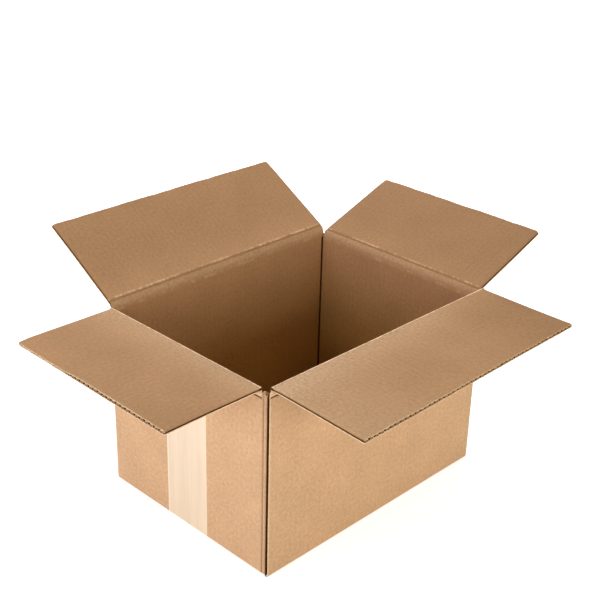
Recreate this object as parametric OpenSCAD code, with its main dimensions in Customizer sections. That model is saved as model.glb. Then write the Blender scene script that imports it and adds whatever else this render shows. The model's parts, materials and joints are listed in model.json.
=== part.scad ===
// Slotted corrugated carton, taped along its bottom, with its four top flaps folded open.
// The long walls face -Y (front) and +Y (back), and the end walls face -X (left) and +X (right).
// Millimetres. The origin is the middle of the base, and +Z is up.

/* [Carton] */
// Outside length, along X
carton_l = 265; // [200:5:400]
// Outside width, along Y
carton_w = 200; // [150:5:260]
// Height of the folds at the top of the long walls
carton_h = 176; // [120:1:260]
// Outside radius of the upright and bottom folds
fold_r = 1.8; // [0.8:0.1:2.6]

/* [Board] */
// Thickness of the corrugated board
board_t = 3.2; // [2.8:0.1:4.4]
// Thickness of each flat liner
liner_t = 0.4; // [0.25:0.05:0.6]
// Thickness of the wavy paper between the liners
medium_t = 0.35; // [0.2:0.05:0.5]
// Distance from one flute to the next
flute_pitch = 5.6; // [5:0.1:8]

/* [Top flaps] */
// Gap between the long flaps' free edges when they are folded shut
top_seam = 10; // [1:0.5:20]
// Distance from each end of a long flap to the end of the carton
long_inset = 1; // [0.5:0.1:2]
// Play between the side edges of an end flap and the long walls
end_play = 1; // [0.6:0.1:3]
// Further width cut from the end flap that stands beside the glued joint
joint_slot = 4.8; // [4:0.1:8]
// Length of solid crushed board between a fold and the open flutes
crushed_l = 11; // [8:0.5:20]
// Angle of the front flap from upright
front_open = 91; // [0:1:165]
// Angle of the back flap from upright
back_open = 60; // [0:1:165]
// Angle of the left flap from upright
left_open = 89.5; // [0:0.5:165]
// Angle of the right flap from upright
right_open = 70; // [0:1:165]

/* [Top folds] */
// Reach of the crushed band on each side of a top fold
band_w = 4; // [3.5:0.1:6]
// Depth to which the band is crushed
band_d = 0.5; // [0.2:0.05:0.8]
// Depth of the crease pressed into the outer faces where the band ends
crease_d = 0.35; // [0.2:0.05:0.8]
// Room between the folded edges, across the fold
fold_gap = 0.3; // [0.3:0.05:0.8]
// Room between two layers of board that lie on each other
layer_gap = 0.3; // [0.2:0.05:0.8]
// Depth of the corner slots below the folds of the end flaps
slot_drop = 1.6; // [1:0.1:4]

/* [Upright folds] */
// Radius of the groove that a score leaves inside an upright corner
corner_score_r = 1.4; // [0.6:0.1:2]

/* [Bottom flaps] */
// Gap between the long bottom flaps' free edges
bottom_seam = 1; // [0.6:0.1:6]
// Play between the bottom flaps' side edges and the walls beside them
bottom_play = 1; // [0.6:0.1:3]

/* [Glued joint] */
// Width of the glue tab inside the front wall
tab_w = 32; // [20:1:45]
// Slant of the glue tab's top and bottom edges, as a drop over its width
tab_slant = 10; // [4:1:16]
// Distance from the glue tab's ends to the folds of the end wall
tab_short = 8; // [6:0.5:20]
// Distance from the front wall to the upright score of the end wall
score_y = 4.6; // [2.5:0.1:8]
// Depth of the bent strip between that score and the front wall
strip_d = 0.9; // [0.4:0.1:1.4]
// Depth of the open flute along the front wall's cut edge
cut_flute_d = 3; // [1.5:0.1:5]

/* [Tape] */
// Width of the tape
tape_w = 51; // [36:1:75]
// Thickness of the tape
tape_t = 0.1; // [0.05:0.01:0.2]
// Height to which the tape runs up the end walls
tape_up = 125; // [40:5:130]

/* [Hidden] */

kraft = "#d3aa7b";
tape_cream = "#f3e3c4";

// Points along one wave of the flutes
wave_steps = 8;
// Depth to which the wavy paper is bonded into each liner
bond = 0.05;
// Overlap that joins two solids of one sheet
lap = 0.5;
// Room beyond a surface for a tool that cuts it
over = 2;

half_l = carton_l / 2;
half_w = carton_w / 2;
flap_l = (carton_w - top_seam) / 2;
// The end flaps fold a board lower, and shut under the long flaps
low_h = carton_h - board_t - layer_gap;
slot_h = low_h - slot_drop;
// A fold's two faces are mitred at 45 degrees about the outer edge, so each gives half the room
mitre = fold_gap / sqrt(2);
end_inset = board_t + end_play;
joint_inset = end_inset + joint_slot;
bottom_l = (carton_w - bottom_seam) / 2;
wave_a = board_t / 2 - liner_t - medium_t / 2 + bond;

// Section of the board across its flutes: X along the board, Y from the outer face to the inner
module board_section(width) {
    steps = round(width / flute_pitch * wave_steps);
    along = [for (i = [0 : steps]) width * (i / steps - 0.5)];
    function wave(x) = board_t / 2 + wave_a * cos(360 * x / flute_pitch);
    translate([-width / 2, 0]) square([width, liner_t]);
    translate([-width / 2, board_t - liner_t]) square([width, liner_t]);
    polygon(concat(
        [for (i = [0 : steps]) [along[i], wave(along[i]) - medium_t / 2]],
        [for (i = [steps : -1 : 0]) [along[i], wave(along[i]) + medium_t / 2]]
    ));
}

// Sweeps an outline along X: its X becomes Y, and its Y becomes Z
module along_x(from, to) {
    translate([from, 0, 0]) rotate([90, 0, 90]) linear_extrude(to - from) children();
}

// Puts a fold that runs along X at the origin, with the outside at -Y, onto one wall's top edge
module at_fold(turn, reach, height) {
    rotate([0, 0, turn]) translate([0, -reach, height]) children();
}
module at_front() { at_fold(0, half_w, carton_h) children(); }
module at_back() { at_fold(180, half_w, carton_h) children(); }
module at_left() { at_fold(-90, half_l, low_h) children(); }
module at_right() { at_fold(90, half_l, low_h) children(); }

// A top flap standing upright on its fold, between two places along the fold
module flap(from, to) {
    band_in = board_t - band_d;
    along_x(from, to) polygon([
        [0, mitre],
        [band_in, band_in + mitre],
        [band_in, band_w],
        [board_t, band_w + band_d],
        [board_t, crushed_l],
        [0, crushed_l],
        [0, band_w + crease_d],
        [crease_d, band_w],
        [0, band_w - crease_d]
    ]);
    translate([(from + to) / 2, 0, crushed_l - lap])
        linear_extrude(flap_l - crushed_l + lap) board_section(to - from);
}

module flap_front() {
    color(kraft) at_front() rotate([front_open, 0, 0]) flap(long_inset - half_l, half_l - long_inset);
}

module flap_back() {
    color(kraft) at_back() rotate([back_open, 0, 0]) flap(long_inset - half_l, half_l - long_inset);
}

module flap_left() {
    color(kraft) at_left() rotate([left_open, 0, 0]) flap(end_inset - half_w, half_w - joint_inset);
}

module flap_right() {
    color(kraft) at_right() rotate([right_open, 0, 0]) flap(end_inset - half_w, half_w - end_inset);
}

// What is cut from the top of a wall along its fold: the mitre, the crushed band and the outer crease
module rim_cut(from, to) {
    band_in = board_t - band_d;
    along_x(from, to) polygon([
        [-over, over - mitre],
        [band_in, -band_in - mitre],
        [band_in, -band_w],
        [board_t, -band_w - band_d],
        [board_t + over, -band_w - band_d],
        [board_t + over, board_t + over],
        [-over, board_t + over]
    ]);
    along_x(from, to) polygon([
        [-over, -band_w - crease_d - over],
        [crease_d, -band_w],
        [-over, -band_w + crease_d + over]
    ]);
}

// A rectangle round the origin whose corners are rounded by a radius
module round_rect(length, width, r) {
    square([length - 2 * r, width], center = true);
    square([length, width - 2 * r], center = true);
    for (x = [-1, 1], y = [-1, 1])
        translate([x * (length / 2 - r), y * (width / 2 - r)]) circle(r, $fn = 48);
}

// The walls seen from above. The sheet's two ends meet at the corner of the front and left walls.
module wall_plan() {
    difference() {
        union() {
            round_rect(carton_l, carton_w, fold_r);
            translate([-half_l, -half_w]) square(2 * fold_r);
        }
        square([carton_l - 2 * board_t, carton_w - 2 * board_t], center = true);
        // The scores inside the three corners that the sheet is folded round
        for (corner = [[1, -1], [-1, 1], [1, 1]])
            translate([corner.x * (half_l - board_t), corner.y * (half_w - board_t)])
                circle(corner_score_r, $fn = 48);
        // The bent strip where the left wall turns in behind the front wall
        polygon([
            [-half_l - over, -half_w + board_t],
            [-half_l + strip_d, -half_w + board_t],
            [-half_l, -half_w + board_t + score_y],
            [-half_l - over, -half_w + board_t + score_y]
        ]);
        // The open flute along the front wall's cut edge
        translate([-half_l - over, -half_w + liner_t])
            square([over + cut_flute_d, board_t - 2 * liner_t]);
    }
}

// The outline of the carton seen along a wall, with its two bottom folds rounded
module side_outline(width) {
    translate([0, carton_h]) round_rect(width, 2 * carton_h, fold_r);
}

module walls() {
    intersection() {
        difference() {
            linear_extrude(carton_h) wall_plan();
            at_front() rim_cut(-half_l - over, half_l + over);
            at_back() rim_cut(-half_l - over, half_l + over);
            at_left() rim_cut(board_t - half_w, half_w - board_t);
            at_right() rim_cut(board_t - half_w, half_w - board_t);
            corner_slots();
        }
        along_x(-half_l, half_l) side_outline(carton_w);
        rotate([90, 0, 0]) linear_extrude(carton_w, center = true) side_outline(carton_l);
    }
}

// The slots that part the flaps at the corners, cut a little below the folds
module corner_slots() {
    // One slot, from the outer corner at [x, y] towards the middle
    module slot(x, y, end_cut) {
        mirror([x > 0 ? 1 : 0, 0, 0]) mirror([0, y > 0 ? 1 : 0, 0])
            translate([-half_l - over, -half_w, slot_h]) {
                translate([0, board_t, 0]) cube([over + board_t + over, end_cut - board_t, carton_h]);
                translate([0, -over, 0]) cube([over + long_inset, over + board_t + lap, carton_h]);
            }
    }
    slot(-1, -1, joint_inset);
    slot(1, -1, end_inset);
    slot(-1, 1, end_inset);
    slot(1, 1, end_inset);
}

// The glue tab: the end of the sheet, folded in behind the front wall
module glue_tab() {
    low = tab_short;
    high = low_h - tab_short;
    reach = board_t + tab_w;
    translate([-half_l, -half_w + 2 * board_t, 0]) rotate([90, 0, 0]) linear_extrude(board_t + lap)
        polygon([
            [board_t - lap, low],
            [reach, low + tab_slant],
            [reach, high - tab_slant],
            [board_t - lap, high]
        ]);
}

// A bottom flap lying on the plane z = 0 from a fold along X, reaching towards +Y
module bottom_flap(width, length) {
    translate([-width / 2, -lap, 0]) cube([width, crushed_l + lap, board_t]);
    translate([0, length, 0]) rotate([90, 0, 0])
        linear_extrude(length - crushed_l + lap) board_section(width);
}

module bottom() {
    long_w = carton_l - 2 * (board_t + bottom_play);
    short_w = carton_w - 2 * (board_t + bottom_play);
    for (turn = [0, 180])
        rotate([0, 0, turn]) translate([0, board_t - half_w, 0]) bottom_flap(long_w, bottom_l - board_t);
    for (turn = [-90, 90])
        rotate([0, 0, turn]) translate([0, board_t - half_l, board_t + layer_gap])
            bottom_flap(short_w, bottom_l - board_t);
}

module carton() {
    color(kraft) difference() {
        union() {
            walls();
            glue_tab();
            bottom();
        }
        tape_strip();
    }
}

// The tape seen along Y: under the bottom, round the two end folds and up the end walls
module tape_strip() {
    module path(grow) {
        intersection() {
            translate([0, carton_h + tape_t - grow])
                round_rect(carton_l + 2 * grow, 2 * carton_h, fold_r + grow);
            translate([-carton_l, -over]) square([2 * carton_l, tape_up + over]);
        }
    }
    rotate([90, 0, 0]) linear_extrude(tape_w, center = true) difference() {
        path(tape_t);
        path(0);
    }
}

module bottom_tape() {
    color(tape_cream) tape_strip();
}

carton();
flap_front();
flap_back();
flap_left();
flap_right();
bottom_tape();
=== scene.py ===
import json
import math
from typing import NamedTuple

import bmesh
import bpy
import numpy as np
from bpy.props import FloatProperty, FloatVectorProperty, PointerProperty
from mathutils import Matrix, Vector


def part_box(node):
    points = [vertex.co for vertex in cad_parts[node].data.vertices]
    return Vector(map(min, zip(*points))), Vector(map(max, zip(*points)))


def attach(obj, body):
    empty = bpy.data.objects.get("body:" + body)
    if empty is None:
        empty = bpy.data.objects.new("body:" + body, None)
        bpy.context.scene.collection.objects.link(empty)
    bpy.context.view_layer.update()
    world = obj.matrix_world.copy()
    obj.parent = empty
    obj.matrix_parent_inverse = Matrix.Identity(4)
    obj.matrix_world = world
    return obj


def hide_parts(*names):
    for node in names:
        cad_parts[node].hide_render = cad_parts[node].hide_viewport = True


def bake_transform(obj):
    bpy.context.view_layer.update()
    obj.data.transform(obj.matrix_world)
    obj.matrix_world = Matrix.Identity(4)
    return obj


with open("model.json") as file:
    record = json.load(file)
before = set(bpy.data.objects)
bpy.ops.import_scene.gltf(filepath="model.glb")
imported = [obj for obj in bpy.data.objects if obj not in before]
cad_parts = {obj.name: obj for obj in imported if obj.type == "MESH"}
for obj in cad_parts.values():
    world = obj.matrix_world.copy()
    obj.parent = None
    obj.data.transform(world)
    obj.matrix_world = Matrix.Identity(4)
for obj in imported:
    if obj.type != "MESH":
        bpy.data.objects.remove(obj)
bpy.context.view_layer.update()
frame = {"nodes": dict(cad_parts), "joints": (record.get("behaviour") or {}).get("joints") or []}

bl_info = {
    "name": "Open Corrugated Carton",
    "version": (1, 0, 0),
    "blender": (4, 5, 0),
    "location": "View3D > Sidebar > Carton",
    "description": "Dresses a carton's frame with liners, flutes, crushed folds, torn edges and tape",
    "category": "Add Mesh",
}

MM = 0.001
UP = np.array((0.0, 0.0, 1.0))

# The finishes of a piece of board, in the order of its material slots
# The flute finish is made very dark: painted shade of the hollows inside the board, on the liners' backs,
# the wavy paper and the open flute
OUTER, INNER, CUT, SHADED_FLUTE = 0, 1, 2, 3

# The finishes of a shell: its seen face, its back, then all its edges, or its two sides and its two ends
OUTER_LINER = (OUTER, SHADED_FLUTE, CUT)
INNER_LINER = (INNER, SHADED_FLUTE, SHADED_FLUTE, SHADED_FLUTE, CUT, CUT)
WAVY_PAPER = (SHADED_FLUTE, SHADED_FLUTE, SHADED_FLUTE, SHADED_FLUTE, SHADED_FLUTE, CUT)

# Distances from a panel's free edge at which its mesh has a row
EDGE_ROWS = np.array([8.0, 5.0, 3.0, 1.5, 0.6, 0.0]) * MM

# Reach of the crushing at a flap's cut sides, and inset of a fold's bands from those sides
NIP_REACH = 3 * MM
BAND_INSET = 0.1 * MM

# The crushed liner over a fold that lies flat, in mm: heights above the fold with distances behind the
# wall's face, then the two places where it rejoins the flap
FLAT_SECTION = (
    (-4.5, 3.15), (-3.0, 2.75), (-1.6, 2.2), (-0.3, 1.45), (0.2, 1.0), (0.9, 0.75),
    (1.7, 0.5), (2.4, 0.2), (2.9, -0.2), (3.12, -0.7), (3.19, -1.3),
)
FLAT_REJOINS = (2.0, 2.8)

# Parts of a leaning fold's bend at which its section has a point
BEND_PARTS = (0.0, 0.08, 0.18, 0.3, 0.42, 0.54, 0.65, 0.75, 0.84, 0.92, 1.0)

# Numbers of the points of a fold's section: where it leaves the wall, a leaning fold's apex, a point
# late in the bend, a flat fold's top, the end of the bend, and the lip beyond it
LEAVES, APEX, LATE, FLAT_TOP, SCORE, LIP = 3, 6, 10, 11, 12, 15


class Handling(NamedTuple):
    """What use has done to one top flap, and the light painted on it: how blunt its corners are, how far
    its ends are warped towards the inside, how worn its free edge is, how much painted highlight pales
    its root and how much painted shade darkens its panel, and how its free edge is crushed: by a share
    and a swing, which changes over a step. Sizes are in mm, and the pairs for two ends run the way of the
    hinge's axis."""

    blunt: tuple
    warp: tuple
    worn: float
    pale_root_highlight: float
    painted_shade: float
    crush: tuple
    step: float
    crush_seed: int
    warp_seed: int


HANDLING = {
    "front": Handling(blunt=(0.2, 0.5), warp=(-2.4, 1.6), worn=0.25, pale_root_highlight=0.24, painted_shade=0.0,
                      crush=(0.06, 0.1), step=11, crush_seed=4, warp_seed=45),
    "left": Handling(blunt=(2.0, 0.2), warp=(0.6, -0.8), worn=0.9, pale_root_highlight=0.22, painted_shade=0.0,
                     crush=(0.0, 0.06), step=7, crush_seed=3, warp_seed=44),
    "back": Handling(blunt=(0.4, 0.4), warp=(0.25, 0.0), worn=0.1, pale_root_highlight=0.2, painted_shade=0.2,
                     crush=(0.14, 0.12), step=13, crush_seed=8, warp_seed=44),
    "right": Handling(blunt=(1.6, 0.3), warp=(0.6, 0.4), worn=0.1, pale_root_highlight=0.1, painted_shade=0.31,
                      crush=(0.14, 0.12), step=13, crush_seed=9, warp_seed=45),
}


class Lamp(NamedTuple):
    """A square lamp: where it stands and how wide it is, in metres, and its tint."""

    place: tuple
    size: float
    tint: tuple


LAMPS = {
    "side": Lamp((-1.56, -0.08, 0.34), 1.1, (1.0, 0.985, 1.03)),
    "front": Lamp((-0.20, -1.55, 0.34), 1.1, (1.0, 0.975, 0.86)),
    "back": Lamp((0.50, 0.90, 1.35), 1.2, (1.0, 1.0, 1.0)),
    "right": Lamp((1.00, 0.30, 1.35), 1.2, (1.0, 1.0, 1.0)),
}
LAMP_TARGET = (0.0, 0.0, 0.10)
WHITE = (1.0, 1.0, 1.0, 1.0)


def length(name, description, millimetres):
    """A size property, in metres. Its default is given in millimetres, and it can be changed fourfold."""
    size = millimetres * MM
    return FloatProperty(
        name=name, description=description, default=size, min=size / 4, max=size * 4,
        unit="LENGTH", precision=5,
    )


def colour(name, description, default):
    """A linear colour property."""
    return FloatVectorProperty(
        name=name, description=description, default=default,
        min=0.0, max=1.0, size=3, subtype="COLOR",
    )


def amount(name, description, default, low=0.0, high=1.0):
    """A plain number property."""
    return FloatProperty(name=name, description=description, default=default, min=low, max=high)


def angle(name, description, degrees):
    """An angle property, whose default is given in degrees."""
    return FloatProperty(
        name=name, description=description, default=math.radians(degrees), subtype="ANGLE",
    )


class BoardSettings(bpy.types.PropertyGroup):
    """The corrugated board: its layers and its colours"""

    liner: length("Liner", "Thickness of each flat liner", 0.4)
    medium: length("Medium", "Thickness of the wavy paper between the liners", 0.28)
    pitch: length("Flute pitch", "Distance from one flute to the next", 5.6)
    rag: length("Rag", "Depth to which a cut edge is ragged", 0.3)
    nip: amount("Nip", "Share of the thickness that the slotting knives have crushed at the sides", 0.36)
    outer_colour: colour("Outer liner", "Colour of the carton's outside", (0.672, 0.424, 0.240))
    inner_colour: colour("Inner liner", "Colour of the carton's inside", (0.472, 0.262, 0.124))
    cut_colour: colour("Cut edge", "Colour of a liner's cut edge", (0.70, 0.46, 0.26))
    # The wavy paper's colour is darkened into painted shade of the hollows between the liners
    flute_shade_colour: colour("Flutes", "Colour of the wavy paper", (0.150, 0.066, 0.020))
    # The worn colour is real wear at torn and cut paper, and also painted highlight on fold rims, crease
    # lips and crushed bands
    worn_and_highlight_colour: colour("Worn paper", "Colour of scuffed creases and torn paper", (0.95, 0.68, 0.45))


class WallSettings(bpy.types.PropertyGroup):
    """The walls, their corners and the glued joint"""

    step: length("Column spacing", "Distance between the mesh's columns", 6.0)
    corner: length("Corner radius", "Outside radius of the upright and bottom folds", 1.8)
    groove: length("Score groove", "Radius of the groove inside an upright corner", 1.25)
    slot_drop: length("Slot drop", "Depth of the corner slots below the end folds", 1.6)
    open_flute: length("Open flute", "Depth of the open flute along the raw edge", 3.0)
    strip: length("Bent strip", "Width of the strip bent in at the glued joint", 3.4)
    strip_depth: length("Strip depth", "Depth of that strip behind the wall's face", 1.1)
    tab: length("Glue tab", "Width of the tab behind the front wall", 32.0)
    tab_short: length("Tab ends", "Distance from the tab's ends to the folds", 8.0)
    tab_slant: length("Tab slant", "Rise of the tab's ends over its width", 10.0)
    glue: length("Glue line", "Room between the tab and the wall", 0.05)
    bottom_rise: length("Bottom rise", "Rise of the bottom's outer layer above the base", 0.12)
    bottom_gap: length("Bottom gap", "Room between the bottom's two layers", 0.3)
    bottom_seam: length("Bottom seam", "Gap between the long bottom flaps", 1.0)
    bottom_play: length("Bottom play", "Play beside the bottom flaps", 1.0)


class FoldSettings(bpy.types.PropertyGroup):
    """The crushed bands along the top folds"""

    wall_band: length("Wall band", "Reach of the crushed band down the wall", 7.0)
    band: length("Flap band", "Reach of the crushed band along the flap", 4.5)
    apex: length("Apex", "Thickness of the crushed board at a leaning fold", 1.35)
    score: length("Score line", "Distance from a leaning fold to its deepest line", 1.6)
    score_deep: length("Score board", "Thickness of the board at that line", 1.6)
    lip: length("Lip", "Distance from a leaning fold to full thickness", 3.4)
    turn_from: length("Turn from", "Depth below a flat fold from which its liner turns", 3.0)
    crease: length("Crease", "Depth of the creases in the outer faces", 0.5)
    crease_at: length("Flap crease", "Distance from the fold to the crease in the flap", 4.0)
    wall_crease: length("Wall crease", "Distance from the fold to the crease in the wall", 6.8)
    recess: length("Recess", "Depth of the dark gap between the liners at a cut side", 1.6)
    bead: length("Outer bend", "Reach of the outer liner's bend at the fold", 1.2)
    wrinkle: length("Wrinkles", "Height of the wrinkles in the crushed band", 0.16)
    flat_from: angle("Flat from", "Opening past which a flap counts as lying flat", 80.0)


class TapeSettings(bpy.types.PropertyGroup):
    """The tape along the bottom seam and up the end walls"""

    lift: length("Lift", "Room between the tape and the board", 0.03)
    thickness: length("Thickness", "Thickness of the tape", 0.07)
    tooth: length("Tooth pitch", "Distance between the teeth of a cut end", 1.6)
    tooth_depth: length("Tooth depth", "Depth of those teeth", 0.7)
    tape_colour: colour("Tape", "Colour of the tape", (0.90, 0.73, 0.54))


class StageSettings(bpy.types.PropertyGroup):
    """The camera, the lamps and the floor"""

    azimuth: angle("Azimuth", "Heading of the view", -45.8)
    elevation: angle("Elevation", "Height of the view", 25.587)
    roll: angle("Roll", "Turn of the picture", 1.524)
    distance: length("Distance", "Distance from the camera to its target", 1088.3)
    target: FloatVectorProperty(
        name="Target", description="Point that the camera looks at",
        default=(0.03171, 0.03091, 0.15248), size=3, unit="LENGTH",
    )
    lens: amount("Lens", "Focal length in millimetres, on a 36 mm sensor", 70.9, 10.0, 300.0)
    world: amount("Sky", "Strength of the light from all around", 0.20, 0.0, 5.0)
    side_power: amount("Side lamp", "Watts of the lamp that faces the left wall", 17.6, 0.0, 500.0)
    front_power: amount("Front lamp", "Watts of the lamp that faces the front wall", 15.5, 0.0, 500.0)
    back_power: amount("Back lamp", "Watts of the lamp above and behind", 18.7, 0.0, 500.0)
    right_power: amount("Right lamp", "Watts of the lamp above and to the right", 4.8, 0.0, 500.0)
    floor_colour: colour("Floor", "Colour of the floor", (0.86, 0.86, 0.86))
    floor_glow: amount("Floor glow", "White that the camera sees on the floor", 0.62, 0.0, 1.0)


def settings():
    """The scene's own property groups, by name."""
    return bpy.context.scene.carton


def cells(value, step, shift):
    """The number of the cell that each value falls in, and the smoothed part of it that is passed."""
    at = np.asarray(value, float) / step + shift
    first = np.floor(at).astype(int)
    part = at - first
    return first, part * part * (3 - 2 * part)


def wander(place, step, seed):
    """Smooth random values from -1 to 1 along a line, which change over the given step."""
    knots = np.random.default_rng(seed).uniform(-1, 1, 1024)
    first, part = cells(place, step, 200.0)
    return knots[first % 1024] * (1 - part) + knots[(first + 1) % 1024] * part


def wander_over(across, along, step, seed):
    """Smooth random values from -1 to 1 over a sheet."""
    knots = np.random.default_rng(seed).uniform(-1, 1, (256, 256))
    (i, a), (j, b) = [cells(value, step, 64.0) for value in np.broadcast_arrays(across, along)]
    near = knots[i % 256, j % 256] * (1 - a) + knots[(i + 1) % 256, j % 256] * a
    far = knots[i % 256, (j + 1) % 256] * (1 - a) + knots[(i + 1) % 256, (j + 1) % 256] * a
    return near * (1 - b) + far * b


def ease(value, low, high):
    """A smooth step from 0 at low to 1 at high."""
    t = np.clip((np.asarray(value, float) - low) / (high - low), 0, 1)
    return t * t * (3 - 2 * t)


def evenly(low, high, step):
    """Places from low to high, about a step apart."""
    return np.linspace(low, high, max(2, int(round((high - low) / step)) + 1))


def columns(span, near_side, inset, step):
    """Places across a span, about a step apart, with some given in mm near both of its sides."""
    lines = np.array(near_side) * MM
    middle = evenly(span[0] + inset, span[1] - inset, step)
    return np.concatenate([span[0] + lines, middle, span[1] - lines[::-1]])[:, None]


def from_side(across, span):
    """Distance from a place to the nearer end of a span."""
    return np.minimum(across - span[0], span[1] - across)


class Fold:
    """One top fold as the frame has it: its hinge line, the wall below it and the flap beyond it."""

    def __init__(self, side):
        self.side = side
        self.node = "flap_" + side
        self.body = side + "_flap"
        joint = next(j for j in frame["joints"] if j["child"] == self.body)
        self.root = np.array(joint["pos_m"], float)
        self.along = np.array(joint["axis"], float)
        self.out = np.cross(self.along, UP)
        mesh = frame["nodes"][self.node].data
        raised = [p for p in mesh.polygons if p.normal.z > 0.2]
        face = np.array(max(raised, key=lambda p: p.area).normal, float)
        self.open = math.atan2(face @ UP, -(face @ self.out))
        self.away = self.out * math.sin(self.open) + UP * math.cos(self.open)
        self.inward = -self.out * math.cos(self.open) + UP * math.sin(self.open)
        points = np.array([v.co for v in mesh.vertices], float) - self.root
        self.start = float((points @ self.along).min())
        self.end = float((points @ self.along).max())
        self.bands = (self.start + BAND_INSET, self.end - BAND_INSET)
        self.reach = float((points @ self.away).max())
        self.board = float((points @ self.inward).max())

    def spot(self, along, one, one_way, two, two_way):
        """Points at a place along the fold and two distances off it."""
        along, one, two = np.broadcast_arrays(along, one, two)
        return (self.root + along[..., None] * self.along
                + one[..., None] * one_way + two[..., None] * two_way)

    def lies_flat(self):
        """Whether the flap lies flat, and does not lean."""
        return self.open > settings().folds.flat_from

    def nipped(self, along):
        """Share of the thickness that the slotting knives have crushed at places along the fold."""
        return settings().board.nip * ease(from_side(along, (self.start, self.end)), NIP_REACH, 0.0)

    def halfway(self):
        """The way inwards, halfway between those of the wall and of the flap."""
        return -self.out * math.cos(self.open / 2) + UP * math.sin(self.open / 2)

    def on_wall(self, along, down, deep):
        """Points of the wall: down from the fold, and deep behind the outer face."""
        return self.spot(along, down, -UP, deep, -self.out)

    def on_flap(self, along, reach, deep):
        """Points of the flap: a reach from the fold, and deep behind the outer face."""
        return self.spot(along, reach, self.away, deep, self.inward)


FOLDS = {side: Fold(side) for side in ("front", "right", "back", "left")}
BOARD = FOLDS["front"].board
HALF_X = abs(FOLDS["right"].root[0])
HALF_Y = abs(FOLDS["front"].root[1])


class Shells:
    """The closed shells of one piece, with their finishes and their places on the flat sheet."""

    def __init__(self):
        self.points = []
        self.sheet = []
        self.quads = []
        self.finish = []
        self.count = 0

    def quad(self, a, b, c, d, finish):
        """Adds quads whose corners are given as four arrays of point numbers."""
        made = np.stack([a, b, c, d], -1).reshape(-1, 4)
        self.quads.append(made)
        self.finish.append(np.full(len(made), finish))

    def slab(self, outer, inner, across, along, finishes, wear=0.0):
        """Adds the shell between two grids of points, at places across and along the flutes.
        The finishes are those of its outer face, its inner face and its edges: one for all four,
        or one each for the first row, the last row, the first column and the last column.
        The wear and painted shading is that of both faces, or a pair."""
        shape = outer.shape[:2]
        size = shape[0] * shape[1]
        one = self.count + np.arange(size).reshape(shape)
        two = one + size
        self.count += 2 * size
        for face in wear if isinstance(wear, tuple) else (wear, wear):
            place = np.stack([np.broadcast_to(part, shape) for part in (across, along, face)], -1)
            self.sheet.append(place.reshape(-1, 3))
        self.points += [outer.reshape(-1, 3), inner.reshape(-1, 3)]
        self.quad(one[:-1, :-1], one[1:, :-1], one[1:, 1:], one[:-1, 1:], finishes[0])
        self.quad(two[:-1, :-1], two[:-1, 1:], two[1:, 1:], two[1:, :-1], finishes[1])
        rims = ((one[0], two[0]), (one[-1], two[-1]), (one[:, 0], two[:, 0]), (one[:, -1], two[:, -1]))
        edges = finishes[2:] if len(finishes) == 6 else (finishes[2],) * 4
        for (a, b), finish in zip(rims, edges):
            self.quad(a[:-1], a[1:], b[1:], b[:-1], finish)


def add_object(name, data):
    """Makes an object and puts it in the scene."""
    made = bpy.data.objects.new(name, data)
    bpy.context.scene.collection.objects.link(made)
    return made


def make_piece(name, shells, materials, sharp=32.0):
    """Makes a piece from its shells. Edges that bend by more than the sharp angle, in degrees, show."""
    mesh = bpy.data.meshes.new(name)
    mesh.from_pydata(np.concatenate(shells.points).tolist(), [], np.concatenate(shells.quads).tolist())
    sheet = mesh.attributes.new("sheet", "FLOAT_VECTOR", "POINT")
    sheet.data.foreach_set("vector", np.concatenate(shells.sheet).astype(np.float32).ravel())
    mesh.polygons.foreach_set("material_index", np.concatenate(shells.finish).astype(np.int32))
    for material in materials:
        mesh.materials.append(material)
    tidy = bmesh.new()
    tidy.from_mesh(mesh)
    bmesh.ops.recalc_face_normals(tidy, faces=tidy.faces)
    tidy.to_mesh(mesh)
    tidy.free()
    mesh.shade_smooth()
    mesh.set_sharp_from_angle(angle=math.radians(sharp))
    return add_object(name, mesh)


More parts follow.
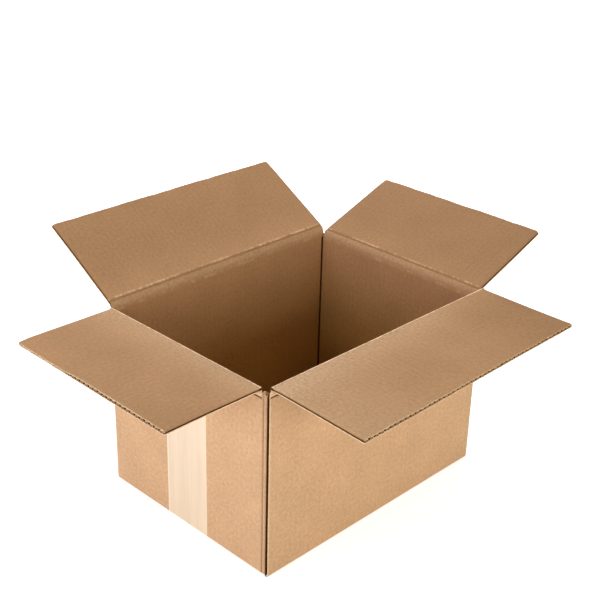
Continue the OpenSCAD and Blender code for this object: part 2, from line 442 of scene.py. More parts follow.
class Finish:
    """The nodes of a material or of the sky, with short calls that add and join them."""

    def __init__(self, owner):
        self.owner = owner
        owner.use_nodes = True
        self.tree = owner.node_tree
        self.tree.nodes.clear()

    def add(self, kind, inputs=(), output=0, **options):
        """Adds a node, fills its inputs with values or other nodes' outputs, and returns one output."""
        node = self.tree.nodes.new("ShaderNode" + kind)
        for key, value in options.items():
            setattr(node, key, value)
        for key, value in dict(inputs).items():
            if isinstance(value, bpy.types.NodeSocket):
                self.tree.links.new(value, node.inputs[key])
            else:
                node.inputs[key].default_value = value
        return node.outputs[output]

    def sum(self, *terms):
        """Adds up pairs of an output and its weight, round their middle of 0.5."""
        total = 0.5
        for value, weight in terms:
            part = self.add("Math", {0: value, 1: 0.5}, operation="SUBTRACT")
            total = self.add("Math", {0: part, 1: weight, 2: total}, operation="MULTIPLY_ADD")
        return total

    def times(self, value, factor, **options):
        """Multiplies a value."""
        return self.add("Math", {0: value, 1: factor}, operation="MULTIPLY", **options)

    def stretch(self, place, scales):
        """Multiplies the parts of a place, for marks that are longer one way than the other."""
        return self.add("VectorMath", {0: place, 1: scales}, operation="MULTIPLY")

    def ramp(self, value, start, end, low, high):
        """Maps a value that goes from start to end onto low to high."""
        return self.add("MapRange", {0: value, 1: start, 2: end, 3: low, 4: high})

    def mix(self, factor, one, two, **options):
        """Mixes two colours."""
        return self.add("Mix", {0: factor, 6: one, 7: two}, output=2, data_type="RGBA", **options)

    def noise(self, place, scale, detail=3.0, rough=0.5):
        """A noise from 0 to 1."""
        inputs = {"Vector": place, "Scale": scale, "Detail": detail, "Roughness": rough}
        return self.add("TexNoise", inputs)

    def surface(self, colour, rough, gloss, relief, strength, depth):
        """Finishes a material whose surface has a relief, and returns it."""
        normal = self.add("Bump", {"Strength": strength, "Distance": depth, "Height": relief})
        return self.finish(self.add("BsdfPrincipled", {
            "Base Color": colour, "Roughness": rough, "Specular IOR Level": gloss, "Normal": normal,
        }))

    def finish(self, shader, kind="OutputMaterial"):
        """Joins the shader to the output, and returns the owner of the nodes."""
        output = self.tree.nodes.new("ShaderNode" + kind)
        self.tree.links.new(shader, output.inputs["Surface"])
        return self.owner


def shade(base, factor):
    """A colour made lighter or darker."""
    return (*[min(1.0, c * factor) for c in base], 1.0)


def paper(name, base, contrast, stripe, bump, gloss, shade_share=(0.25, 0.16, 0.07), low_shade_tint=None):
    """Kraft paper: blotches, mottling, fibres, specks and the faint print of the flutes below it.
    It turns to the worn colour where its wear and shading is above 0, for real wear and for painted
    highlights, and darkens to a share of its own colour below 0, which is painted shade.
    A low shade tint, painted shade of the deep inside, colours what is lower down."""
    board = settings().board
    made = Finish(bpy.data.materials.new(name))
    sheet = made.add("Attribute", output=1, attribute_name="sheet")
    across, along, wear = [made.add("SeparateXYZ", {0: sheet}, output=part) for part in range(3)]
    flat = made.add("CombineXYZ", {0: across, 1: along})
    blotch = made.noise(flat, 26.0, 3.0)
    mottle = made.noise(flat, 330.0, 5.0, 0.62)
    fine = made.noise(flat, 1500.0, 3.0, 0.6)
    fibre = made.noise(made.stretch(flat, (260.0, 1500.0, 1.0)), 1.0, 3.0, 0.6)
    wave = made.add("Math", {0: made.times(across, 2 * math.pi / board.pitch)}, operation="COSINE")
    flutes = made.add("Math", {0: wave, 1: 0.5, 2: 0.5}, operation="MULTIPLY_ADD")
    tone = made.sum((blotch, 0.45), (mottle, 1.1), (fibre, 0.55), (fine, 0.8), (flutes, stripe * 8))
    body = made.mix(tone, shade(base, 1 - contrast), shade(base, 1 + contrast))
    speck = made.ramp(made.noise(flat, 620.0, 1.0), 0.69, 0.76, 0.0, 0.4)
    speckled = made.mix(speck, body, shade(base, 0.55))
    patchiness = made.ramp(made.noise(flat, 420.0, 3.0, 0.6), 0.35, 0.65, 0.35, 1.25)
    # Above 0 the paper turns to the worn colour: real wear at cut and torn edges, and painted highlights
    # on rims and creases
    worn = made.mix(made.times(wear, patchiness, use_clamp=True), speckled, (*board.worn_and_highlight_colour, 1.0))
    # Below 0 it darkens towards a share of its colour: painted shade in creases, grooves, slits and
    # recesses
    painted_shade = [value * share for value, share in zip(base, shade_share)]
    final = made.mix(made.times(wear, -1.0, use_clamp=True), worn, (*painted_shade, 1.0))
    # Painted shade: the inside is tinted yellower and darker low down, where the walls shade it
    if low_shade_tint:
        low = made.ramp(along, 0.155, 0.06, 0.0, 1.0)
        final = made.mix(low, final, (*low_shade_tint, 1.0), blend_type="MULTIPLY")
    relief = made.sum((mottle, 0.8), (fine, 0.45), (fibre, 0.5), (flutes, stripe * 18))
    return made.surface(final, 0.85, gloss, relief, 0.55, 0.00012 * bump)


def recipes():
    """The papers of a piece of board, in slot order: each one's name, colour, contrast, print of the
    flutes, bump and gloss, and for the last the share of its colour that its painted shade keeps."""
    board = settings().board
    return (
        ("outer_liner", board.outer_colour, 0.30, 0.004, 1.3, 0.25),
        ("inner_liner", board.inner_colour, 0.27, 0.008, 1.3, 0.25),
        ("cut_edge", board.cut_colour, 0.40, 0.0, 2.0, 0.1),
        # The flute paper is darkened into painted shade of the hollows inside the board
        ("flute_paper", board.flute_shade_colour, 0.30, 0.0, 1.0, 0.02, (0.62, 0.36, 0.15)),
    )


def board_finishes():
    """The four finishes of a piece of board, in slot order, made once."""
    return [bpy.data.materials.get(recipe[0]) or paper(*recipe) for recipe in recipes()]


def carton_finishes():
    """The finishes of the walls and the bottom, whose inner liner is tinted yellower low down: painted
    shade of the deep inside.
    """
    made = board_finishes()
    made[INNER] = paper("inside_liner", *recipes()[INNER][1:], low_shade_tint=(0.98, 1.03, 0.6))
    return made


def tape_finish():
    """Satin cream tape: fine streaks along it, paler edges and slight ripples."""
    colour_of_tape = settings().tape.tape_colour
    made = Finish(bpy.data.materials.new("tape"))
    sheet = made.add("Attribute", output=1, attribute_name="sheet")
    edge = made.add("SeparateXYZ", {0: sheet}, output=2)
    streaks = made.noise(made.stretch(sheet, (420.0, 9.0, 0.0)), 1.0, 4.0, 0.6)
    bands = made.noise(made.stretch(sheet, (110.0, 3.0, 0.0)), 1.0, 2.0)
    ripples = made.noise(made.stretch(sheet, (60.0, 22.0, 0.0)), 1.0, 3.0, 0.55)
    tone = made.sum((streaks, 0.9), (bands, 0.9), (ripples, 0.5))
    body = made.mix(tone, shade(colour_of_tape, 0.86), shade(colour_of_tape, 1.09))
    final = made.mix(edge, body, shade(colour_of_tape, 1.12))
    rough = made.ramp(ripples, 0.3, 0.7, 0.42, 0.55)
    return made.surface(final, rough, 0.35, made.sum((streaks, 0.35), (ripples, 0.9)), 0.4, 0.0004)


def even_tone(u, r):
    """No difference of tone over a panel."""
    return 0 * (u + r)


def add_board(shells, place, span, reach, thick, seed, rag, side_wear=(0.0, 0.0), blunt_ends=(0.0, 0.0),
              tone=even_tone, edge_wear=0.0, row_step=9 * MM):
    """Adds a panel of open board: two liners with the wavy paper between them.
    The flutes run along the reach, and thick gives the board's thickness at each spot.
    The free edge is ragged to the depth of rag, and its ends may be blunted."""
    board = settings().board
    edge = reach[1]
    inset = 6 * MM
    across = columns(span, (0.0, 0.5, 1.2, 2.2), 4 * MM, board.pitch / 2)
    rows = evenly(reach[0] + inset, edge - 2 * inset, row_step)
    along = np.concatenate([[reach[0]], rows, edge - EDGE_ROWS])[None, :]

    def ragged(u, r, seed):
        coarse = 0.5 + 0.5 * wander(u, 2.1 * MM, seed)
        worn = rag * coarse + rag * 0.5 * wander(u, 0.9 * MM, seed + 1)
        blunt = blunt_ends[0] * ease(u, span[0] + 5 * MM, span[0]) ** 2
        blunt = blunt + blunt_ends[1] * ease(u, span[1] - 5 * MM, span[1]) ** 2
        return r - (np.clip(worn, 0.03 * MM, None) + blunt) * ease(r, edge - 2 * MM, edge)

    def add(u, r, low, high, finishes, wear=0.0):
        shells.slab(place(u, r, low), place(u, r, high), u + 0.31 * seed, r, finishes, wear)

    near_side = ease(from_side(across, span), 0.9 * MM, 0.0)
    near_edge = ease(along, edge - 1.6 * MM, edge) * (0.7 + 0.3 * wander(across, 3 * MM, seed + 3))
    near_end = 0 * across + ease(along, edge - 1.4 * MM, edge - 0.2 * MM)
    out_r = ragged(across, along, seed)
    in_r = ragged(across, along, seed + 7)
    full = thick(across, along)
    u = np.broadcast_to(across, full.shape)
    outer_liner = board.liner * (1 + 1.1 * near_side + 0.2 * near_end)
    outer_wear = side_wear[0] * near_side + 0.95 * near_end
    # The inner liner takes painted shade near the cut sides, real wear at the free edge, and the tone
    # that carries the flap's painted highlight and shade
    inner_wear = side_wear[1] * near_side + edge_wear * near_edge + tone(u, in_r)
    add(u, out_r, 0 * full, 0 * full + outer_liner, OUTER_LINER, outer_wear)
    add(u, in_r, full, full - board.liner, INNER_LINER, inner_wear)

    # The wavy paper, which ends inside the liners at the sides
    recess = settings().folds.recess
    u = evenly(span[0] + recess, span[1] - recess, board.pitch / 14)[:, None]
    r = np.broadcast_to(along[:, 1:], (len(u), along.shape[1] - 1)).copy()
    r[:, -1] -= 0.35 * MM
    full = thick(u, r)
    phase = 2 * math.pi * (u - (span[0] + span[1]) / 2) / board.pitch
    fuzzy = board.medium * (1 + 0.4 * ease(r, edge - 2.0 * MM, edge - 0.6 * MM))
    height = full / 2 - board.liner - board.medium / 2 + 0.05 * MM
    slope = height * np.sin(phase) * 2 * math.pi / board.pitch
    half = fuzzy / 2 * np.sqrt(1 + slope * slope)
    centre = full / 2 + height * np.cos(phase)
    add(np.broadcast_to(u, full.shape), r, centre - half, centre + half, WAVY_PAPER)

    # A dark filler just inside the free edge, with painted shade down the open flutes
    shade_filler_rows = edge - np.array([4.0, 1.4, 0.75]) * MM
    r = np.broadcast_to(shade_filler_rows[None, :], (len(u), 3))
    full = thick(u, r)
    top = full / 2 + (full / 2 - board.liner - board.medium / 2) * np.cos(phase)
    add(np.broadcast_to(u, full.shape), r, 0 * full + 0.9 * board.liner,
        np.maximum(top, board.liner * 1.05), WAVY_PAPER, -0.8)


def plan(vector):
    """A vector seen from above."""
    return np.asarray(vector, float)[:2]


class Station(NamedTuple):
    """One column of the walls: its two points in plan, its place on the sheet, its heights, and the
    wear and painted shading of its outer and inner faces. Below a top fold it ends at the crushed band,
    not at its top."""

    outer: np.ndarray
    inner: np.ndarray
    sheet: float
    top: float
    foot: float = 0.0
    fold: Fold = None
    wear: tuple = (0.0, 0.0)
    sunk: float = 0.0


def wall_stations():
    """The columns of the folded sheet, from the raw edge at the front left corner to the glue tab."""
    walls = settings().walls
    slot = FOLDS["left"].root[2] - walls.slot_drop
    stations = []
    travelled = 0.0
    for side in ("front", "right", "back", "left"):
        fold = FOLDS[side]
        half = HALF_X if side in ("front", "back") else HALF_Y
        outer_end = half - walls.corner
        inner_end = half - BOARD - walls.groove
        edge = inner_end - 0.05 * MM
        first = -half + walls.open_flute if side == "front" else -outer_end
        last = half - BOARD - walls.strip if side == "left" else outer_end
        places = list(evenly(first, last, walls.step))
        for mark in (fold.start, fold.end):
            if first < mark < last:
                places = [p for p in places if abs(p - mark) > 1.5 * MM]
                places += [mark - 0.01 * MM, mark + 0.01 * MM]
        for u in sorted(places):
            inner_u = u
            if side != "front" or u >= -edge:
                inner_u = np.interp(u, (-outer_end, -edge, edge, outer_end),
                                    (-inner_end, -edge, edge, inner_end))
            folded = fold.start <= u <= fold.end
            stations.append(Station(
                plan(fold.on_wall(u, 0.0, 0.0)), plan(fold.on_wall(inner_u, 0.0, BOARD)),
                travelled + u + half, slot, fold=fold if folded else None,
            ))
        travelled += 2 * half
        if side != "left":
            stations += corner_stations(fold, half, travelled, slot)
    # The score where the strip bends in is sunk and darkened with painted shade
    stations[-1] = stations[-1]._replace(wear=(-0.7, -0.7), sunk=0.3 * MM)
    add_joint_stations(stations, travelled, slot)
    return stations


def corner_stations(fold, half, travelled, slot):
    """The columns round an upright fold, at the end of one wall."""
    walls = settings().walls
    corner = plan(fold.on_wall(half, 0.0, 0.0))
    along, out = plan(fold.along), plan(fold.out)
    arc_middle = corner - (along + out) * walls.corner
    groove_middle = corner - (along + out) * BOARD
    stations = []
    for part in np.linspace(0, 1, 11)[1:-1]:
        turn = part * math.pi / 2
        swing = part * math.pi * 1.5
        # The inner face round the groove is darkened with painted shade
        stations.append(Station(
            arc_middle + walls.corner * (out * math.cos(turn) + along * math.sin(turn)),
            groove_middle + walls.groove * (out * math.sin(swing) - along * math.cos(swing)),
            travelled + (part - 0.5) * walls.corner, slot, wear=(0.0, -1.0),
        ))
    return stations


def add_joint_stations(stations, travelled, slot):
    """The end of the sheet: the strip that is bent in behind the front wall, and the glue tab."""
    walls = settings().walls
    left = FOLDS["left"]
    score = HALF_Y - BOARD - walls.strip
    end = HALF_Y - BOARD - walls.glue
    inner_end = HALF_Y - 2 * BOARD
    rng = np.random.default_rng(5)
    for part in np.linspace(0, 1, 12)[1:]:
        u = score + (end - score) * part
        inner_u = score + (inner_end - score) * part
        tear = rng.uniform(-2.2, 0.9) * MM if part < 1 else 0.0
        # The strip darkens towards the slit: painted shade behind the front wall
        wear = -0.04 - 0.3 * part ** 2 - 0.6 * ease(part, 0.78, 0.95)
        stations.append(Station(
            plan(left.on_wall(u, 0.0, walls.strip_depth * part)),
            plan(left.on_wall(inner_u, 0.0, BOARD)),
            travelled - HALF_Y + u, slot + tear, wear=(wear, wear),
        ))
    corner_sheet = stations[-1].sheet
    low_end, high_end = walls.tab_short, left.root[2] - walls.tab_short
    first = BOARD + 0.05 * MM
    tab = [first + 0.02 * MM, *evenly(first, BOARD + walls.tab, walls.step)[1:]]
    for deep in (first, *tab):
        foot, top = 0.0, slot
        if deep > first:
            rise = walls.tab_slant * (deep - first) / walls.tab
            foot, top = low_end + rise, high_end - rise
        stations.append(Station(
            plan(left.on_wall(end, 0.0, deep)), plan(left.on_wall(inner_end, 0.0, deep)),
            corner_sheet + deep, top, foot,
        ))


def wall_rows(station):
    """One column's rows: heights and insets of the outer points, heights of the inner ones, and wear and
    painted shading.
    """
    walls = settings().walls
    folds = settings().folds
    radius = walls.corner if station.foot == 0.0 else 0.0
    turns = np.radians([0, 22, 45, 68, 90])
    number = np.arange(len(turns))
    z_out = station.foot + radius * (1 - np.cos(turns)) + number * 0.02 * MM
    z_in = station.foot + (0.1 + 0.45 * number) * MM
    top_out, top_in, crease = station.top, station.top, 0.0
    if station.fold:
        top_out = station.fold.root[2] - folds.bead
        top_in = station.fold.root[2] - folds.wall_band - 0.1 * MM
        crease = folds.crease
    from_bead = folds.wall_crease - folds.bead
    steps_out = from_bead + np.array([1.0, 0.4, -0.4, -0.9, -from_bead / MM]) * MM
    steps_in = np.array([3.4, 2.4, 1.6, 0.8, 0.0]) * MM
    middle = np.linspace(0, 1, 16)[1:-1]
    rise_out = z_out[-1] + (top_out - steps_out[0] - z_out[-1]) * middle
    rise_in = z_in[-1] + (top_in - steps_in[0] - z_in[-1]) * middle
    z_out = np.concatenate([z_out, rise_out, top_out - steps_out])
    z_in = np.concatenate([z_in, rise_in, top_in - steps_in])
    round_fold, plain, round_crease = radius * (1 - np.sin(turns)), 0 * middle, [0, crease, crease, 0, 0]
    inset = np.concatenate([round_fold, plain, round_crease])
    wear = np.zeros(len(z_out))
    if station.fold:
        # The crease is sunk and darkened with painted shade, and the paper above it is painted paler
        wear[-4:] = (-1.0, -1.0, 0.75, 0.75)
    return z_out, inset, z_in, wear


def build_walls():
    """The four walls and the glue tab, as one folded sheet of board."""
    stations = wall_stations()
    outer, inner, along, wear = [], [], [], []
    for station in stations:
        z_out, inset, z_in, row_wear = wall_rows(station)
        way = station.inner - station.outer
        way = way / np.linalg.norm(way)
        if station.fold:
            way = -plan(station.fold.out)
        xy_out = station.outer + way * (inset + station.sunk)[:, None]
        outer.append(np.column_stack([xy_out, z_out]))
        inner.append(np.column_stack([np.tile(station.inner, (len(z_in), 1)), z_in]))
        along.append(z_out)
        wear.append([row_wear + station.wear[0], 0 * row_wear + station.wear[1]])
    across = np.array([station.sheet for station in stations])[:, None]
    shells = Shells()
    shells.slab(np.array(outer), np.array(inner), across, np.array(along),
                (OUTER, INNER, SHADED_FLUTE, CUT, CUT, CUT), tuple(np.moveaxis(np.array(wear), 1, 0)))
    add_raw_edge(shells, stations[0])
    return shells


def add_raw_edge(shells, station):
    """The two liners of the front wall's raw edge, with the open flute between them."""
    board = settings().board
    front = FOLDS["front"]
    top = front.root[2]
    z_out, inset, z_in, row_wear = wall_rows(station)
    short = 0.8 * MM * (z_out > top - 5 * MM) * ease(z_out, top - 8 * MM, top - 1 * MM)
    depth = settings().walls.open_flute
    places = -HALF_X + np.array([0.0, 0.35, 0.8, 1.4, 2.2, 3.0]) / 3.0 * depth
    across = np.repeat((places + HALF_X)[:, None], len(z_out), axis=1)
    # The outer liner's cut edge is paler from wear, and the wall's crease brings its painted shading
    edge_wear = 0.9 * ease(across, 1.7 * MM, 0.3 * MM) + row_wear[None, :]
    skins = (
        (31, OUTER_LINER, edge_wear, top - z_out, inset, short),
        # The inner liner's faces at the open flute take the dark flute finish: painted shade in the slit
        (32, (SHADED_FLUTE, INNER, SHADED_FLUTE), 0.0, top - z_in, BOARD - board.liner + 0 * z_in, 0.0),
    )
    for seed, finishes, wear, down, deep, lowered in skins:
        fraying = 0.22 * MM * np.abs(wander(z_out, 2.3 * MM, seed))
        face, back = [], []
        for u in places:
            at = u + fraying * ease(u, -HALF_X + 0.6 * MM, -HALF_X)
            here = down + (lowered if u < front.start else 0.0)
            face.append(front.on_wall(at, here, deep))
            back.append(front.on_wall(at, here, deep + board.liner))
        shells.slab(np.array(face), np.array(back), across, z_out[None, :], finishes, wear)


def add_bottom(shells):
    """The four bottom flaps: the long pair below, and the short pair on them."""
    walls = settings().walls
    half = (2 * HALF_Y - walls.bottom_seam) / 2
    low = walls.bottom_rise
    high = BOARD + walls.bottom_gap
    layers = (("front", low, HALF_X, 11), ("back", low, HALF_X, 13),
              ("left", high, HALF_Y, 17), ("right", high, HALF_Y, 19))
    for side, height, end, seed in layers:
        fold = FOLDS[side]
        start = walls.corner + 0.1 * MM if height == low else BOARD - 0.3 * MM
        foot = fold.root[2] - height
        side_end = end - BOARD - walls.bottom_play

        def place(u, r, n, fold=fold, foot=foot):
            return fold.on_wall(u, foot - n, r)

        def thick(u, r):
            return BOARD + 0 * (u + r)

        add_board(shells, place, (-side_end, side_end), (start, half), thick, seed, 0.2 * MM,
                  row_step=40 * MM)


def flap_crush(fold, along, reach):
    """Share of the board's thickness that handling has crushed out near a flap's free edge.
    The left flap is crushed most towards its back end, and one stretch of the front flap is whole."""
    used = HANDLING[fold.side]
    share, swing = used.crush
    crushed = share + swing * wander(along, used.step * MM, used.crush_seed)
    if fold.side == "left":
        crushed = crushed + 0.5 * ease(along, -8 * MM, -40 * MM)
    if fold.side == "front":
        crushed = crushed * (1 - np.exp(-((along + 80 * MM) / (14 * MM)) ** 2))
    return ease(reach, fold.reach - 13 * MM, fold.reach - 1 * MM) * np.clip(crushed, 0, 0.7)


def flap_warp(fold, along, reach):
    """How far a flap's face is warped off its plane, towards the inside."""
    used = HANDLING[fold.side]
    half = 130 * MM
    t = np.clip((along + half) / (2 * half), 0, 1)
    tip = used.warp[0] * (1 - t) + used.warp[1] * t
    share = ease(reach, 8 * MM, fold.reach * 1.6) * 1.2
    slow = 0.35 * wander_over(along, reach, 60 * MM, used.warp_seed) * ease(reach, 10 * MM, 40 * MM)
    return (tip * share + slow) * MM


def flap_tone(fold, u, r):
    """The painted highlight that pales a flap near its fold, the painted shade that darkens a leaning
    flap's panel, and the changes of tone towards some of its ends.
    """
    used = HANDLING[fold.side]
    # Painted highlight pales the root, and painted shade darkens the panels of the back and right flaps
    tone = used.pale_root_highlight * np.exp(-(r / (24 * MM)) ** 2) - used.painted_shade + 0 * u
    if fold.side == "front":
        tone = tone - 0.28 * ease(u, 20 * MM, 130 * MM) + 0.17 * ease(u, -20 * MM, -130 * MM)
    if fold.side == "left":
        tone = tone - 0.1 * ease(u, 30 * MM, 90 * MM) * ease(r, 30 * MM, 90 * MM)
    return tone


def build_flap(fold, seed):
    """One top flap: open board, with its crushed root."""
    board = settings().board
    folds = settings().folds
    used = HANDLING[fold.side]
    span = (fold.start, fold.end)
    sprung = 0.1 if fold.lies_flat() else 0.0

    def place(u, r, n):
        return fold.on_flap(u, r, n + flap_warp(fold, u, r))

    def thick(u, r):
        rise = 1 - 0.015 * (1 - ease(r, folds.band, folds.band + 8 * MM))
        spring = 1 + sprung * ease(r, fold.reach - 12 * MM, fold.reach)
        return fold.board * rise * spring * (1 - fold.nipped(u)) * (1 - flap_crush(fold, u, r))

    def tone(u, r):
        return flap_tone(fold, u, r)

    shells = Shells()
    add_board(shells, place, span, (folds.band, fold.reach), thick, seed, board.rag, (0.9, -0.85),
              (used.blunt[0] * MM, used.blunt[1] * MM), tone, used.worn)
    across = evenly(*span, board.pitch)[:, None]
    half_crease = 0.4 * MM
    reach = np.array([folds.bead, folds.crease_at - half_crease, folds.crease_at,
                      folds.crease_at + half_crease, folds.band + 0.9 * MM])[None, :]
    deep = np.array([0.0, 0.0, folds.crease, 0.0, 0.05 * MM])[None, :]
    u, r, n = np.broadcast_arrays(across, reach, deep)
    shells.slab(fold.on_flap(u, r, n), fold.on_flap(u, r, n + board.liner), u, r, OUTER_LINER, 0.3)
    return shells


def curve(start, control, end, parts):
    """Points along a smooth bend from a start to an end, drawn towards a control point."""
    t = np.asarray(parts)[:, None]
    return (1 - t) ** 2 * start + 2 * t * (1 - t) * control + t ** 2 * end


def bend_path(fold):
    """The crushed inner liner's way over a fold: its points, its normals and the distance run."""
    folds = settings().folds
    middle = fold.halfway()
    if fold.lies_flat():
        bend = [fold.on_wall(0.0, -up * MM, inside * MM) for up, inside in FLAT_SECTION]
        beyond = [fold.on_flap(0.0, reach * MM, BOARD) for reach in FLAT_REJOINS]
    else:
        wall_end = fold.on_wall(0.0, folds.wall_band, BOARD + 0.02 * MM)
        score = fold.on_flap(0.0, folds.score, folds.score_deep)
        control = 2 * (fold.root + middle * folds.apex) - (wall_end + score) / 2
        bend = curve(wall_end, control, score, BEND_PARTS)
        near_lip = fold.on_flap(0.0, folds.lip - 0.5 * MM, BOARD - 0.35 * MM)
        beyond = [(score + near_lip) / 2, near_lip]
    points = np.array([
        fold.on_wall(0.0, folds.wall_band + 0.9 * MM, BOARD - 0.12 * MM),
        fold.on_wall(0.0, folds.wall_band + 0.35 * MM, BOARD - 0.02 * MM),
        *bend, *beyond,
        fold.on_flap(0.0, folds.lip, BOARD - 0.01 * MM),
        fold.on_flap(0.0, folds.band + 0.6 * MM, BOARD - 0.03 * MM),
        fold.on_flap(0.0, folds.band + 0.9 * MM, BOARD - 0.25 * MM),
    ])
    facing = np.cross(np.gradient(points, axis=0), fold.along)
    facing = facing / np.linalg.norm(facing, axis=1)[:, None]
    if facing[APEX] @ middle < 0:
        facing = -facing
    steps = np.linalg.norm(np.diff(points, axis=0), axis=1)
    return points, facing, np.concatenate([[0.0], np.cumsum(steps)])


def build_inner_band(fold, seed):
    """The crushed inner liner of a fold, from the wall over the rim to the flap.
    It also gives the points from which and up to which the bend turns."""
    board = settings().board
    folds = settings().folds
    points, facing, run = bend_path(fold)
    flat = fold.lies_flat()
    across = columns(fold.bands, (0.0, 0.6, 1.4, 2.4), 3.5 * MM, board.pitch / 5)
    place = run[None, :]
    inside = ease(place, run[1], run[4]) * ease(place, run[LIP], run[SCORE])
    crumple = (0.75 * wander_over(across, place * 1.3, 3.4 * MM, seed)
               + 0.45 * wander_over(across, place, 1.3 * MM, seed + 1))
    flutes = 0.25 * np.cos(2 * math.pi * across / board.pitch + 0.7)
    pinch = BOARD * fold.nipped(across) * ease(place, run[LATE], run[LIP])
    bump = folds.wrinkle * inside * (crumple + flutes) * (0.4 if flat else 1.0) - pinch
    slide = across[:, :, None] * fold.along
    upper = points + slide + facing * bump[..., None]
    lower = points + slide - facing * (board.liner + pinch)[..., None]

    def near(number, width):
        return np.exp(-((place - run[number]) / (width * MM)) ** 2)

    fine_highlight_dots = 0.8 * wander(across, 1.7 * MM, seed + 2)
    highlight_dots = np.clip(0.3 + fine_highlight_dots + 0.5 * wander(across, 17 * MM, seed + 5), 0, 1)
    patches = 0.65 + 0.35 * wander(across, 4 * MM, seed + 3)
    highlight_smudges = np.clip(0.9 * wander(across, 5 * MM, seed + 4), 0, 1)
    # A flat fold's rim gets a painted highlight; a leaning fold gets a dotted painted highlight on its
    # lip, painted shade in its score line, a paler apex and smudged painted highlights where the liner
    # leaves the wall
    if flat:
        wear = 2.4 * near(FLAT_TOP, 0.8) * patches
    else:
        wear = 0.8 * near(LIP, 0.55) * highlight_dots - 0.2 * near(SCORE, 1.3) * (0.7 + 0.3 * patches)
        wear = wear + 0.25 * near(APEX, 3.2) + 0.35 * near(LEAVES, 1.2) * highlight_smudges
    # The flap's painted highlight and shade carry on past the score line
    wear = wear + flap_tone(fold, across, 0 * place) * ease(place, run[SCORE], run[LIP])
    # Painted shade darkens the band near the cut sides
    wear = wear - 0.3 * ease(from_side(across, fold.bands), 0.6 * MM, 0.0)
    shells = Shells()
    shells.slab(upper, lower, across + 0.1 * seed, place, INNER_LINER, wear)
    # A leaning flap's liner turns from a millimetre lower
    turn_from = folds.turn_from if flat else folds.turn_from + 1 * MM
    return shells, fold.on_wall(0.0, turn_from, BOARD), fold.on_flap(0.0, folds.band, BOARD)


def build_outer_band(fold, seed):
    """The outer liner's bend along the fold, with the points between which it turns."""
    across = evenly(*fold.bands, settings().board.pitch / 2)[:, None]
    reach = settings().folds.bead + 0.15 * MM
    skin = 0.3 * MM
    steps = np.array([1.0, 0.85, 0.6, 0.35, 0.15]) * reach
    ridge = fold.root + across[:, :, None] * fold.along
    inside = fold.halfway() * skin

    def face(further, deep, middle):
        below = [fold.on_wall(across, step + further, deep) for step in steps]
        beyond = [fold.on_flap(across, step + further, deep) for step in steps[::-1]]
        return np.concatenate([*below, middle, *beyond], axis=1)

    shells = Shells()
    shells.slab(face(0.0, 0.03 * MM, ridge + inside * 0.1), face(0.1 * MM, skin, ridge + inside),
                across + 0.1 * seed, np.concatenate([-steps, [0.0], steps[::-1]])[None, :],
                OUTER_LINER, 0.3)
    return shells, fold.on_wall(0.0, reach, 0.0), fold.on_flap(0.0, reach, 0.0)


def tape_way(top, radius):
    """The tape's way seen along Y, from one end to the other: X and Z of its points, X and Z of their
    outward normals, and the distance run."""
    half = []
    for z in np.concatenate([[top, top - 1.5 * MM], evenly(top - 6 * MM, radius, 8 * MM)]):
        half.append((-HALF_X, z, -1.0, 0.0, top - z))
    corner_run = half[-1][-1]
    for turn in np.radians([18, 36, 54, 72]):
        beside, below = math.cos(turn), math.sin(turn)
        half.append((-HALF_X + radius - radius * beside, radius - radius * below, -beside, -below,
                     corner_run + radius * turn))
    corner_run += radius * math.pi / 2
    for x in evenly(-HALF_X + radius, 0.0, 12 * MM)[:-1]:
        half.append((x, 0.0, 0.0, -1.0, corner_run + x + HALF_X - radius))
    whole = corner_run - radius + HALF_X
    mirrored = np.array(half[::-1]) * (-1, 1, -1, 1, -1)
    mirrored[:, -1] += 2 * whole
    return np.concatenate([half, [(0.0, 0.0, 0.0, -1.0, whole)], mirrored])


def build_tape():
    """The tape: up the left wall, under the bottom and up the right wall, with toothed ends."""
    tape = settings().tape
    low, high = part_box("bottom_tape")
    half = (high.y - low.y) / 2
    across = np.linspace(-half, half, int(round(2 * half / (tape.tooth / 2))) + 1)
    tooth = np.where(np.arange(len(across)) % 2 == 0, 0.0, tape.tooth_depth)
    way = tape_way(high.z, settings().walls.corner)
    under = way[:, 3] < -0.99
    ends = np.zeros(len(way))
    ends[0], ends[-1] = 1.0, 1.0

    def surface(height):
        off = tape.lift + height
        z = way[:, 1] + way[:, 3] * off
        z = np.where(under, 0.1 * MM - height, np.maximum(z, 0.002 * MM))
        grid = np.zeros((len(across), len(way), 3))
        grid[..., 0] = (way[:, 0] + way[:, 2] * off)[None, :]
        grid[..., 1] = across[:, None]
        grid[..., 2] = z[None, :] - tooth[:, None] * ends[None, :]
        return grid

    edge = 0.75 * ease(half - np.abs(across), 2.6 * MM, 0.6 * MM)[:, None]
    shells = Shells()
    shells.slab(surface(tape.thickness), surface(0.0), across[:, None], way[None, :, 4], (0, 0, 0), edge)
    return shells


class CARTON_OT_walls(bpy.types.Operator):
    """Builds the walls, the glue tab and the bottom flaps, as one sheet"""

    bl_idname = "carton.walls"
    bl_label = "Build Walls and Bottom"

    def execute(self, context):
        shells = build_walls()
        add_bottom(shells)
        piece = make_piece("carton_sheet", shells, carton_finishes())
        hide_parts("carton")
        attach(piece, "carton_body")
        return {"FINISHED"}


class CARTON_OT_flaps(bpy.types.Operator):
    """Builds the four top flaps from their liners and flutes"""

    bl_idname = "carton.flaps"
    bl_label = "Build Top Flaps"

    def execute(self, context):
        for number, fold in enumerate(FOLDS.values()):
            shells = build_flap(fold, 23 + 4 * number)
            piece = make_piece(fold.side + "_flap_sheet", shells, board_finishes())
            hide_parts(fold.node)
            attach(piece, fold.body)
        return {"FINISHED"}


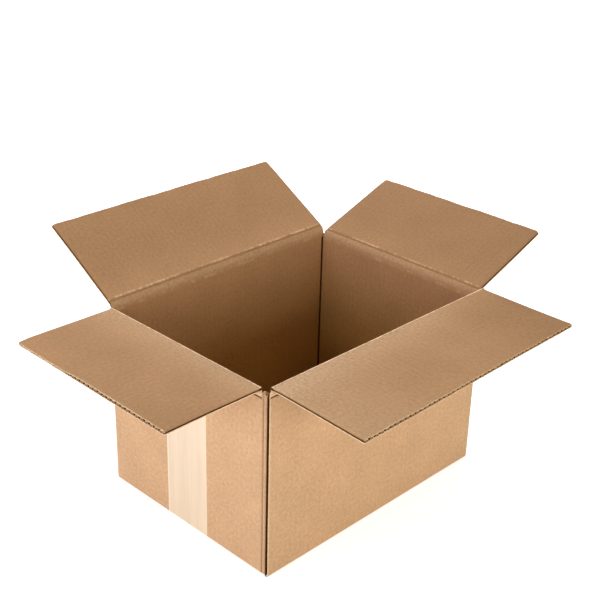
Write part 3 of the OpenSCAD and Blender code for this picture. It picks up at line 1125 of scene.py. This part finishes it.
class CARTON_OT_folds(bpy.types.Operator):
    """Builds the crushed bands that bend between the walls and the top flaps"""

    bl_idname = "carton.folds"
    bl_label = "Build Fold Bands"

    def execute(self, context):
        for number, fold in enumerate(FOLDS.values()):
            for part, build in (("inner", build_inner_band), ("outer", build_outer_band)):
                shells, start, end = build(fold, 61 + 5 * number)
                piece = make_piece(fold.side + "_fold_" + part, shells, board_finishes(), 50.0)
                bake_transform(piece)
        return {"FINISHED"}


class CARTON_OT_tape(bpy.types.Operator):
    """Builds the tape along the bottom seam and up the end walls"""

    bl_idname = "carton.tape"
    bl_label = "Build Tape"

    def execute(self, context):
        piece = make_piece("tape_strip", build_tape(), [tape_finish()])
        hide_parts("bottom_tape")
        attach(piece, "carton_body")
        return {"FINISHED"}


def make_camera(stage):
    """Places the camera on its heading round the target."""
    heading, height = stage.azimuth, stage.elevation
    back = Vector((
        math.sin(heading) * math.cos(height),
        -math.cos(heading) * math.cos(height),
        math.sin(height),
    ))
    data = bpy.data.cameras.new("camera")
    data.lens = stage.lens
    data.sensor_width = 36.0
    data.clip_start = 0.01
    data.clip_end = 50.0
    camera = add_object("camera", data)
    turn = (-back).to_track_quat("-Z", "Y").to_matrix() @ Matrix.Rotation(stage.roll, 3, "Z")
    camera.matrix_world = Matrix.Translation(Vector(stage.target) + back * stage.distance) @ turn.to_4x4()
    bpy.context.scene.camera = camera


def make_lamp(name, lamp, power):
    """Makes a square area lamp that faces the carton."""
    data = bpy.data.lights.new(name, "AREA")
    data.shape = "SQUARE"
    data.size = lamp.size
    data.energy = power
    data.color = lamp.tint
    made = add_object(name, data)
    made.location = lamp.place
    made.rotation_euler = (Vector(LAMP_TARGET) - Vector(lamp.place)).to_track_quat("-Z", "Y").to_euler()


def make_world(stage):
    """A plain white sky, which the camera and clear things see as pure white."""
    made = Finish(bpy.data.worlds.new("sky"))
    camera = made.add("LightPath", output="Is Camera Ray")
    clear = made.add("LightPath", output="Is Transmission Ray")
    seen = made.add("Math", {0: camera, 1: clear}, operation="MAXIMUM")
    lit = made.add("Background", {"Color": WHITE, "Strength": stage.world})
    white = made.add("Background", {"Color": WHITE})
    both = made.add("MixShader", {0: seen, 1: lit, 2: white})
    bpy.context.scene.world = made.finish(both, "OutputWorld")


def make_floor(stage):
    """A plain pale floor that the camera sees as white and that keeps the carton's shadow."""
    made = Finish(bpy.data.materials.new("floor"))
    place = made.add("NewGeometry")
    grain = made.noise(place, 60.0, 2.0)
    tone = made.mix(grain, shade(stage.floor_colour, 0.985), shade(stage.floor_colour, 1.015))
    matt = made.add("BsdfDiffuse", {"Color": tone})
    seen = made.add("LightPath", output="Is Camera Ray")
    away = made.add("VectorMath", {0: place, 1: (0.0, 0.0, 0.0)}, output=1, operation="DISTANCE")
    glow = made.times(seen, made.ramp(away, 0.45, 1.3, stage.floor_glow, 1.0))
    light = made.add("Emission", {"Color": WHITE, "Strength": glow})
    both = made.add("AddShader", {0: matt, 1: light})
    half = 30.0
    corners = [(-half, -half, 0), (half, -half, 0), (half, half, 0), (-half, half, 0)]
    mesh = bpy.data.meshes.new("floor")
    mesh.from_pydata(corners, [], [(0, 1, 2, 3)])
    mesh.materials.append(made.finish(both))
    floor = add_object("floor", mesh)


class CARTON_OT_stage(bpy.types.Operator):
    """Builds the floor, the sky, the lamps and the camera"""

    bl_idname = "carton.stage"
    bl_label = "Build Stage"

    def execute(self, context):
        stage = settings().stage
        make_floor(stage)
        make_world(stage)
        for name, lamp in LAMPS.items():
            make_lamp(name + "_lamp", lamp, getattr(stage, name + "_power"))
        make_camera(stage)
        context.scene.view_settings.view_transform = "Standard"
        return {"FINISHED"}


class CARTON_PT_panel(bpy.types.Panel):
    """Lists the carton's sizes, colours and build steps"""

    bl_idname = "CARTON_PT_panel"
    bl_label = "Open Carton"
    bl_space_type = "VIEW_3D"
    bl_region_type = "UI"
    bl_category = "Carton"

    def draw(self, context):
        for group in ("board", "walls", "folds", "tape", "stage"):
            box = self.layout.box()
            box.label(text=group.title())
            values = getattr(context.scene.carton, group)
            for name in values.__annotations__:
                box.prop(values, name)
        for operator in OPERATORS:
            self.layout.operator(operator.bl_idname)


class CartonSettings(bpy.types.PropertyGroup):
    """All of the carton's settings"""

    board: PointerProperty(type=BoardSettings)
    walls: PointerProperty(type=WallSettings)
    folds: PointerProperty(type=FoldSettings)
    tape: PointerProperty(type=TapeSettings)
    stage: PointerProperty(type=StageSettings)


OPERATORS = (CARTON_OT_walls, CARTON_OT_flaps, CARTON_OT_folds, CARTON_OT_tape, CARTON_OT_stage)
GROUPS = (BoardSettings, WallSettings, FoldSettings, TapeSettings, StageSettings, CartonSettings)


def register():
    for made in (*GROUPS, *OPERATORS, CARTON_PT_panel):
        bpy.utils.register_class(made)
    bpy.types.Scene.carton = PointerProperty(type=CartonSettings)


def unregister():
    del bpy.types.Scene.carton
    for made in reversed((*GROUPS, *OPERATORS, CARTON_PT_panel)):
        bpy.utils.unregister_class(made)


def main():
    """Builds the carton and its stage."""
    register()
    bpy.ops.carton.walls()
    bpy.ops.carton.flaps()
    bpy.ops.carton.folds()
    bpy.ops.carton.tape()
    bpy.ops.carton.stage()


if __name__ == "__main__":
    main()
